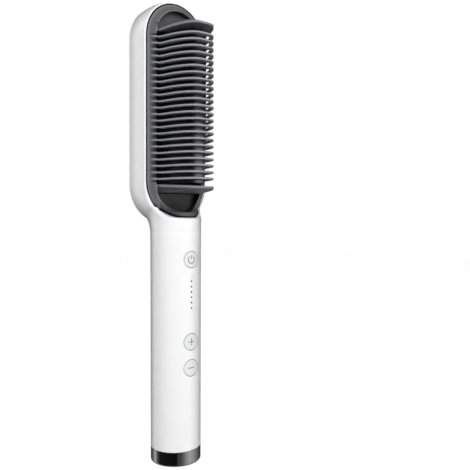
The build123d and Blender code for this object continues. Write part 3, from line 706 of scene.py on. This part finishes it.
def comb_cord_path(sizes, steps):
    """Points of the cord round the comb and a radius at each; it hugs the edge of the comb's nose."""
    half = comb_high.x + sizes.comb_gap - sizes.comb_seal_and_shade
    low_centre, high_centre = comb_low.z + comb_high.x, comb_high.z - comb_high.x
    quarter = [math.pi / 2 * step / steps for step in range(steps + 1)]
    outline = [(half * math.sin(angle), high_centre + half * math.cos(angle)) for angle in quarter]
    outline += [(half * math.cos(angle), low_centre - half * math.sin(angle)) for angle in quarter]
    nose_half = math.sqrt(NOSE_RADIUS ** 2 - (CREST_REACH - NOSE_CENTRE) ** 2)
    right = []
    for x, z in outline:
        if z > low_centre or x > nose_half:
            behind = COMB_SEAL_SUNK * sizes.comb_seal_and_shade
            right.append((Vector((x, behind - scoop_reach(z), z)), sizes.comb_seal_and_shade))
    for step in range(steps + 1):
        x = nose_half * (1 - step / steps)
        reach = math.sqrt(NOSE_RADIUS ** 2 - x ** 2) + NOSE_CENTRE
        under = low_centre - math.sqrt(comb_high.x ** 2 - x ** 2)
        ledge = SCOOP_Z - math.sqrt(SCOOP_RADIUS ** 2 - (FACE_REACH + SCOOP_RADIUS - reach) ** 2)
        level = max(under - NOSE_SEAL_OFF * sizes.nose_seal_and_shade, ledge + NOSE_SEAL_OFF * sizes.nose_seal_and_shade)
        right.append((Vector((x, COMB_SEAL_SUNK * sizes.nose_seal_and_shade - reach, level)), sizes.nose_seal_and_shade))
    left = [
        (Vector((-point.x, point.y, point.z)), radius) for point, radius in reversed(right) if point.x > 0
    ]
    return right + left


def button_cord_path(button, shell, sizes, steps):
    """Points of the cord round a button, on the face of the handle."""
    low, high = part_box(button)
    centre = Vector((0, 0, (low.z + high.z) / 2))
    radius = sizes.button_radius + sizes.button_gap / 2
    path = []
    for step in range(steps):
        angle = 2 * math.pi * step / steps
        outward = Vector((math.sin(angle), 0, math.cos(angle)))
        start = centre + outward * (radius + sizes.button_seal_and_shade) + Vector((0, comb_low.y, 0))
        hit = shell.ray_cast(start, BACKWARD)[0]
        if hit is None:
            raise RuntimeError("a button's seal runs off the handle")
        depth = hit.y + BUTTON_SEAL_SUNK * sizes.button_seal_and_shade
        path.append(centre + outward * radius + Vector((0, depth, 0)))
    return path


def surface_of(node):
    """The CAD node's surface, for laying print and seals on it."""
    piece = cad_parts[node]
    corners = [vertex.co for vertex in piece.data.vertices]
    return BVHTree.FromPolygons(corners, [face.vertices for face in piece.data.polygons])


def stroke_mesh(path, width, surface, proud):
    """Vertices and faces of one printed line along (x, z) points, half sunk in the surface."""
    vertices, faces = [], []
    for index, point in enumerate(path):
        before = path[max(index - 1, 0)]
        after = path[min(index + 1, len(path) - 1)]
        along = (after - before).normalized()
        across = Vector((-along.y, along.x)) * width / 2
        for side in (across, -across):
            x, z = point + side
            hit = surface.ray_cast(Vector((x, comb_low.y, z)), BACKWARD)[0]
            if hit is None:
                raise RuntimeError("a symbol runs off its button")
            vertices.append((x, hit.y - proud, z))
            vertices.append((x, hit.y + proud, z))
    for index in range(len(path) - 1):
        start = 4 * index
        left, left_under, right, right_under = range(start, start + 4)
        faces.append((left, right, right + 4, left + 4))
        faces.append((right, right_under, right_under + 4, right + 4))
        faces.append((right_under, left_under, left_under + 4, right_under + 4))
        faces.append((left_under, left, left + 4, left_under + 4))
    last = 4 * (len(path) - 1)
    faces.append((0, 1, 3, 2))
    faces.append((last, last + 2, last + 3, last + 1))
    return vertices, faces


def print_symbol(name, button, strokes, sizes, material):
    """Print lines on a button, given as paths about its middle."""
    surface = surface_of(button)
    low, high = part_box(button)
    middle = Vector((0, (low.z + high.z) / 2))
    vertices, faces = [], []
    for path in strokes:
        placed = [middle + point for point in path]
        more, joined = stroke_mesh(placed, sizes.stroke, surface, sizes.ink_height)
        faces.extend(tuple(corner + len(vertices) for corner in face) for face in joined)
        vertices.extend(more)
    return new_piece(name, vertices, faces, material)


def straight(x0, z0, x1, z1, steps):
    """Evenly spaced points along a straight line."""
    start, end = Vector((x0, z0)), Vector((x1, z1))
    return [start.lerp(end, step / steps) for step in range(steps + 1)]


def arc(radius, first, last, steps):
    """Points round an arc, from one angle to another, clockwise from the top."""
    angles = [(first + (last - first) * step / steps) * DEGREE for step in range(steps + 1)]
    return [Vector((radius * math.sin(angle), radius * math.cos(angle))) for angle in angles]


class BRUSH_OT_white_mouldings(bpy.types.Operator):
    """Finish the handle and the back panel in gloss white, and the buttons in a darker copy of it, as
    painted shade
    """

    bl_idname = "brush.white_mouldings"
    bl_label = "White mouldings"

    def execute(self, context):
        colours, sizes = context.scene.brush_colours, context.scene.brush_sizes
        white = gloss_white_abs("gloss_white_abs", colours.shell, colours, sizes)
        # Painted shade: the buttons get a darker copy of the white
        pale = gloss_white_abs("shaded_white_abs", colours.button, colours, sizes)
        for name in ("handle_shell", "back_panel"):
            finish_node(name, white)
        for body in BUTTONS:
            finish_node(body + "_button", pale)
        return {"FINISHED"}


class BRUSH_OT_comb(bpy.types.Operator):
    """Finish the comb moulding and the heated dome behind its ribs"""

    bl_idname = "brush.comb"
    bl_label = "Comb and heating plate"

    def execute(self, context):
        colours = context.scene.brush_colours
        finish_node("comb_guard", moulded_heat_resistant_nylon(colours))
        finish_node("heating_plate", ceramic_coated_aluminium(colours))
        return {"FINISHED"}


class BRUSH_OT_trim(bpy.types.Operator):
    """Finish the dark ring on the back and the black end cap with its gland"""

    bl_idname = "brush.trim"
    bl_label = "Bezel and base cap"

    def execute(self, context):
        colours = context.scene.brush_colours
        finish_node("back_bezel", dark_metallic_paint(colours))
        finish_node("base_cap", gloss_black_abs(colours))
        finish_node("inlet_gland", plain_stock("moulded_rubber", "#151515", 0.8, 0.6))
        return {"FINISHED"}


class BRUSH_OT_seals(bpy.types.Operator):
    """Lay a black seal in the gap round the comb and a grey one round each button, whose colours also stand
    in for the shade in those gaps
    """

    bl_idname = "brush.seals"
    bl_label = "Seals"

    def execute(self, context):
        sizes = context.scene.brush_sizes
        steps = context.scene.brush_studio.segments
        colours = context.scene.brush_colours
        # Dark cords: seals whose colours also stand in for the shade in the gaps round the comb and the
        # buttons
        black = silicone_rubber("black_seal_and_shade", colours.comb_seal_and_shade)
        grey = silicone_rubber("grey_seal_and_shade", colours.button_seal_and_shade)
        path, radii = zip(*comb_cord_path(sizes, steps))
        seals = [cord("comb_seal_and_shade", path, radii, black)]
        shell = surface_of("handle_shell")
        for body in BUTTONS:
            # Each button's grey cord also stands in for the shade in its gap
            path = button_cord_path(body + "_button", shell, sizes, steps)
            seals.append(cord(body + "_seal", path, [sizes.button_seal_and_shade] * steps, grey))
        for piece in seals:
            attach(piece, "brush")
        return {"FINISHED"}


class BRUSH_OT_symbols(bpy.types.Operator):
    """Print the power, plus and minus symbols on the buttons"""

    bl_idname = "brush.symbols"
    bl_label = "Symbols"

    def execute(self, context):
        sizes = context.scene.brush_sizes
        steps = context.scene.brush_studio.segments
        ink = pad_printed_ink(context.scene.brush_colours)
        reach = sizes.symbol / 2
        inner, outer = (share * reach for share in POWER_BAR)
        power = [arc(reach, POWER_GAP, 360 - POWER_GAP, steps), straight(0, inner, 0, outer, steps // 10)]
        bar = straight(-reach, 0, reach, 0, steps // 4)
        half_gap = sizes.stroke / 2
        upright = [
            straight(0, half_gap, 0, reach, steps // 4),
            straight(0, -reach, 0, -half_gap, steps // 4),
        ]
        symbols = {"power": power, "plus": [bar, *upright], "minus": [bar]}
        for body, strokes in symbols.items():
            piece = print_symbol(body + "_symbol", body + "_button", strokes, sizes, ink)
            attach(piece, body)
        return {"FINISHED"}


class BRUSH_OT_indicators(bpy.types.Operator):
    """Finish the row of indicators, with the top one lit"""

    bl_idname = "brush.indicators"
    bl_label = "Indicators"

    def execute(self, context):
        scene = context.scene
        finish_node("light_guide", diffusing_acrylic(scene.brush_colours, scene.brush_sizes))
        return {"FINISHED"}


class BRUSH_OT_inner_pieces(bpy.types.Operator):
    """Finish the pieces inside the handle and the head"""

    bl_idname = "brush.inner_pieces"
    bl_label = "Inner pieces"

    def execute(self, context):
        stocks = {
            plain_stock("silicone_sheet", "#B9B2A6", 0.6, 0.7): ("plate_gasket",),
            plain_stock("fired_alumina", "#E4E2DA", 0.4, 0.5): ("ceramic_heater", "thermistor"),
            plain_stock("pressed_mica", "#B8AA84", 1.5, 0.6): ("heater_insulation",),
            plain_stock("spring_steel", "#B4B4B4", 0.3, 0.3, 1.0): ("heater_clamp", "thermal_fuse"),
            plain_stock("zinc_plated_steel", "#A8A8A6", 0.2, 0.35, 1.0): ("tray_screws", "board_screws"),
            plain_stock("phenolic_moulding", "#232323", 0.5, 0.55): ("heater_tray",),
            plain_stock("glass_epoxy_laminate", "#1F5A33", 0.8, 0.35): ("control_board",),
            plain_stock("natural_abs", "#D6D4CC", 0.6, 0.4): ("board_carrier",),
            plain_stock("clear_epoxy", "#DCE6EE", 0.5, 0.2): ("indicator_leds",),
            plain_stock("moulded_epoxy", "#161617", 0.3, 0.45): ("microcontroller", "triac"),
            plain_stock("polyester_case", "#D9B93A", 0.5, 0.4): ("x2_capacitor",),
            plain_stock("drawn_aluminium", "#C4C4C6", 0.3, 0.3, 1.0): ("smoothing_capacitor",),
            plain_stock("silicone_sleeve", "#B4B4B2", 0.5, 0.6): (
                "supply_leads", "heater_leads", "sensor_leads"
            ),
            plain_stock("black_nylon", "#1A1A1B", 0.4, 0.5): tuple(
                f"{body}_{piece}" for body in BUTTONS for piece in ("plunger", "switch")
            ),
        }
        for material, names in stocks.items():
            for name in names:
                finish_node(name, material)
        return {"FINISHED"}


# The lamps: how far off and how high they stand, how far to the camera's right, and their widths
LAMP_DISTANCE = 1.3
LAMP_ELEVATION = 20
LAMP_OFFSET = 4
FRONT_LAMP_SIZE = 0.5
BACK_LAMP_SIZE = 0.8

# Tall softboxes in reflections, as degrees to the right of the camera and a share of the brightest
SOFTBOX_PEAK = 6.4
SOFTBOXES = (
    (-180, 0.02),
    (-150, 0.02),
    (-132, 0.08),
    (-120, 0.25),
    (-112, 0.60),
    (-104, 0.60),
    (-96, 0.22),
    (-86, 0.08),
    (-76, 0.02),
    (5, 0.01),
    (10, 0.14),
    (24, 0.16),
    (38, 0.41),
    (52, 0.78),
    (68, 1.0),
    (85, 0.72),
    (105, 0.31),
    (131, 0.05),
    (150, 0.02),
    (180, 0.02),
)

# The plain ceiling and floor in reflections: their brightness, and how steep a ray turns to them
CEILING = 0.16
CEILING_START = 0.55
CEILING_FULL = 0.9

# How far the floor lies under the brush's foot
UNDER_BRUSH = 0.05 * MM

# The floor's glow for the eye, above the 1 of white to make up for its share of real light
FLOOR_WHITE = 1.15

# The camera, level with the neck and to the left of the comb
CAMERA_AZIMUTH = -37.31
CAMERA_DISTANCE = 0.3874
CAMERA_HEIGHT = 0.1492
CAMERA_YAW = 5.5
CAMERA_PITCH = 0.09
LENS = 47.14
SENSOR_WIDTH = 36
SHIFT_DOWN = 0.03


def around(azimuth, elevation, distance, centre):
    """A point seen from the centre at this azimuth, where 0 is in front of the comb, and elevation."""
    a, e = azimuth * DEGREE, elevation * DEGREE
    direction = Vector((math.sin(a) * math.cos(e), -math.cos(a) * math.cos(e), math.sin(e)))
    return centre + direction * distance


def softbox(name, azimuth, size, level):
    """A square lamp that faces the middle of the brush and lights a white card there to this level."""
    centre = Vector((0, 0, (cad_box[0][2] + cad_box[1][2]) / 2))
    lamp = bpy.data.lights.new(name, "AREA")
    lamp.size = size
    lamp.energy = level * (math.pi * LAMP_DISTANCE) ** 2
    holder = bpy.data.objects.new(name, lamp)
    holder.location = around(azimuth, LAMP_ELEVATION, LAMP_DISTANCE, centre)
    holder.rotation_euler = (centre - holder.location).to_track_quat("-Z", "Y").to_euler()
    holder.visible_camera = False
    holder.visible_glossy = False
    bpy.context.scene.collection.objects.link(holder)


def mirrored_rays(tree):
    """1 for a ray that left a reflecting or clear surface, otherwise 0."""
    ray = add_node(tree, "ShaderNodeLightPath")
    inputs = {0: ray.outputs["Is Glossy Ray"], 1: ray.outputs["Is Transmission Ray"]}
    return add_node(tree, "ShaderNodeMath", inputs, operation="MAXIMUM")


def upright_softboxes(tree, studio):
    """The brightness of the studio's tall softboxes in the direction of a mirrored ray."""
    direction = add_node(tree, "ShaderNodeTexCoord").outputs["Generated"]
    turned = add_node(
        tree,
        "ShaderNodeVectorRotate",
        {"Vector": direction, "Angle": -CAMERA_AZIMUTH * DEGREE},
        rotation_type="Z_AXIS",
    )
    x, y, z = add_node(tree, "ShaderNodeSeparateXYZ", {"Vector": turned}).outputs
    front = add_node(tree, "ShaderNodeMath", {0: y, 1: -1.0}, operation="MULTIPLY")
    angle = add_node(tree, "ShaderNodeMath", {0: x, 1: front}, operation="ARCTAN2")
    share = add_node(
        tree, "ShaderNodeMapRange", {"Value": angle, "From Min": -math.pi, "From Max": math.pi}
    )
    ramp = add_node(tree, "ShaderNodeValToRGB", {"Fac": share})
    stops = ramp.color_ramp.elements
    for stop, (_, brightness) in zip(stops, (SOFTBOXES[0], SOFTBOXES[-1])):
        stop.color = with_alpha((brightness,) * 3)
    for azimuth, brightness in SOFTBOXES[1:-1]:
        stops.new((azimuth + 180) / 360).color = with_alpha((brightness,) * 3)
    upward = add_node(tree, "ShaderNodeMath", {0: z}, operation="ABSOLUTE")
    overhead = add_node(
        tree,
        "ShaderNodeMapRange",
        {"Value": upward, "From Min": CEILING_START, "From Max": CEILING_FULL},
        interpolation_type="SMOOTHSTEP",
    )
    level = add_node(
        tree,
        "ShaderNodeMix",
        {"Factor": overhead, "A": ramp, "B": with_alpha((CEILING,) * 3)},
        data_type="RGBA",
    )
    return add_node(
        tree, "ShaderNodeBackground", {"Color": level, "Strength": SOFTBOX_PEAK * studio.mirrored}
    )


def studio_world(studio):
    """White for the eye, tall softboxes in reflections, and a low even light for all else."""
    world = bpy.data.worlds.new("studio")
    world.use_nodes = True
    tree = world.node_tree
    tree.nodes.clear()
    ray = add_node(tree, "ShaderNodeLightPath")
    plain = with_alpha(linear("#FFFFFF"))
    white = add_node(tree, "ShaderNodeBackground", {"Color": plain, "Strength": 1.0})
    fill = add_node(tree, "ShaderNodeBackground", {"Color": plain, "Strength": studio.ambient})
    room = upright_softboxes(tree, studio)
    indirect = add_node(tree, "ShaderNodeMixShader", {0: mirrored_rays(tree), 1: fill, 2: room})
    seen = add_node(tree, "ShaderNodeMixShader", {0: ray.outputs["Is Camera Ray"], 1: indirect, 2: white})
    add_node(tree, "ShaderNodeOutputWorld", {"Surface": seen})
    bpy.context.scene.world = world


def studio_floor(studio):
    """A pale floor that reads white to the eye, keeps a trace of the shadow and isn't mirrored."""
    material, tree, place = new_material("pale_floor")
    ray = add_node(tree, "ShaderNodeLightPath")
    speckle = add_node(
        tree, "ShaderNodeTexNoise", {"Vector": place, "Scale": per_metre(40), "Detail": 2.0}
    )
    tone = add_node(
        tree,
        "ShaderNodeMix",
        {"Factor": speckle, "A": with_alpha(linear("#A4A4A4")), "B": with_alpha(linear("#ACACAC"))},
        data_type="RGBA",
    )
    lit = add_node(tree, "ShaderNodeBsdfDiffuse", {"Color": tone})
    white = add_node(
        tree, "ShaderNodeEmission", {"Color": with_alpha(linear("#FFFFFF")), "Strength": FLOOR_WHITE}
    )
    share = add_node(
        tree,
        "ShaderNodeMath",
        {0: ray.outputs["Is Camera Ray"], 1: 1 - studio.shadow},
        operation="MULTIPLY",
    )
    look = add_node(tree, "ShaderNodeMixShader", {0: share, 1: lit, 2: white})
    gone = add_node(tree, "ShaderNodeBsdfTransparent")
    shown = add_node(tree, "ShaderNodeMixShader", {0: mirrored_rays(tree), 1: look, 2: gone})
    add_node(tree, "ShaderNodeOutputMaterial", {"Surface": shown})
    half = studio.floor / 2
    corners = [(x * half, y * half, -UNDER_BRUSH) for x, y in ((-1, -1), (1, -1), (1, 1), (-1, 1))]
    floor = new_piece("floor", corners, [(0, 1, 2, 3)], material)


def studio_camera():
    """The camera of the picture, aimed a little to the right of the handle's middle."""
    data = bpy.data.cameras.new("camera")
    data.sensor_width = SENSOR_WIDTH
    data.lens = LENS
    data.shift_y = -SHIFT_DOWN
    holder = bpy.data.objects.new("camera", data)
    holder.location = around(CAMERA_AZIMUTH, 0, CAMERA_DISTANCE, Vector((0, 0, CAMERA_HEIGHT)))
    turn = (CAMERA_AZIMUTH - CAMERA_YAW) * DEGREE
    holder.rotation_euler = ((90 - CAMERA_PITCH) * DEGREE, 0, turn)
    bpy.context.scene.collection.objects.link(holder)
    bpy.context.scene.camera = holder


class BRUSH_OT_stage(bpy.types.Operator):
    """Set up the floor, the light and the camera"""

    bl_idname = "brush.stage"
    bl_label = "Stage"

    def execute(self, context):
        studio = context.scene.brush_studio
        studio_world(studio)
        studio_floor(studio)
        studio_camera()
        softbox("front_softbox", CAMERA_AZIMUTH + LAMP_OFFSET, FRONT_LAMP_SIZE, studio.key)
        softbox("back_softbox", CAMERA_AZIMUTH + 180, BACK_LAMP_SIZE, studio.back_key)
        context.scene.view_settings.view_transform = "Standard"
        return {"FINISHED"}


class BRUSH_PT_brush(bpy.types.Panel):
    """Lists the brush's pieces and its stage"""

    bl_idname = "BRUSH_PT_brush"
    bl_label = "Hair straightening brush"
    bl_space_type = "VIEW_3D"
    bl_region_type = "UI"
    bl_category = "Brush"

    def draw(self, context):
        for operator in operators:
            self.layout.operator(operator.bl_idname)
        for group in ("brush_colours", "brush_sizes", "brush_studio"):
            settings = getattr(context.scene, group)
            for name in settings.__annotations__:
                self.layout.prop(settings, name)


property_groups = {"brush_colours": BrushColours, "brush_sizes": BrushSizes, "brush_studio": BrushStudio}
operators = (
    BRUSH_OT_white_mouldings,
    BRUSH_OT_comb,
    BRUSH_OT_trim,
    BRUSH_OT_seals,
    BRUSH_OT_symbols,
    BRUSH_OT_indicators,
    BRUSH_OT_inner_pieces,
    BRUSH_OT_stage,
)
classes = (*property_groups.values(), *operators, BRUSH_PT_brush)


def register():
    for cls in classes:
        bpy.utils.register_class(cls)
    for name, group in property_groups.items():
        setattr(bpy.types.Scene, name, PointerProperty(type=group))


def unregister():
    for name in property_groups:
        delattr(bpy.types.Scene, name)
    for cls in reversed(classes):
        bpy.utils.unregister_class(cls)


def main():
    register()
    bpy.ops.brush.white_mouldings()
    bpy.ops.brush.comb()
    bpy.ops.brush.trim()
    bpy.ops.brush.seals()
    bpy.ops.brush.symbols()
    bpy.ops.brush.indicators()
    bpy.ops.brush.inner_pieces()
    bpy.ops.brush.stage()


if __name__ == "__main__":
    main()
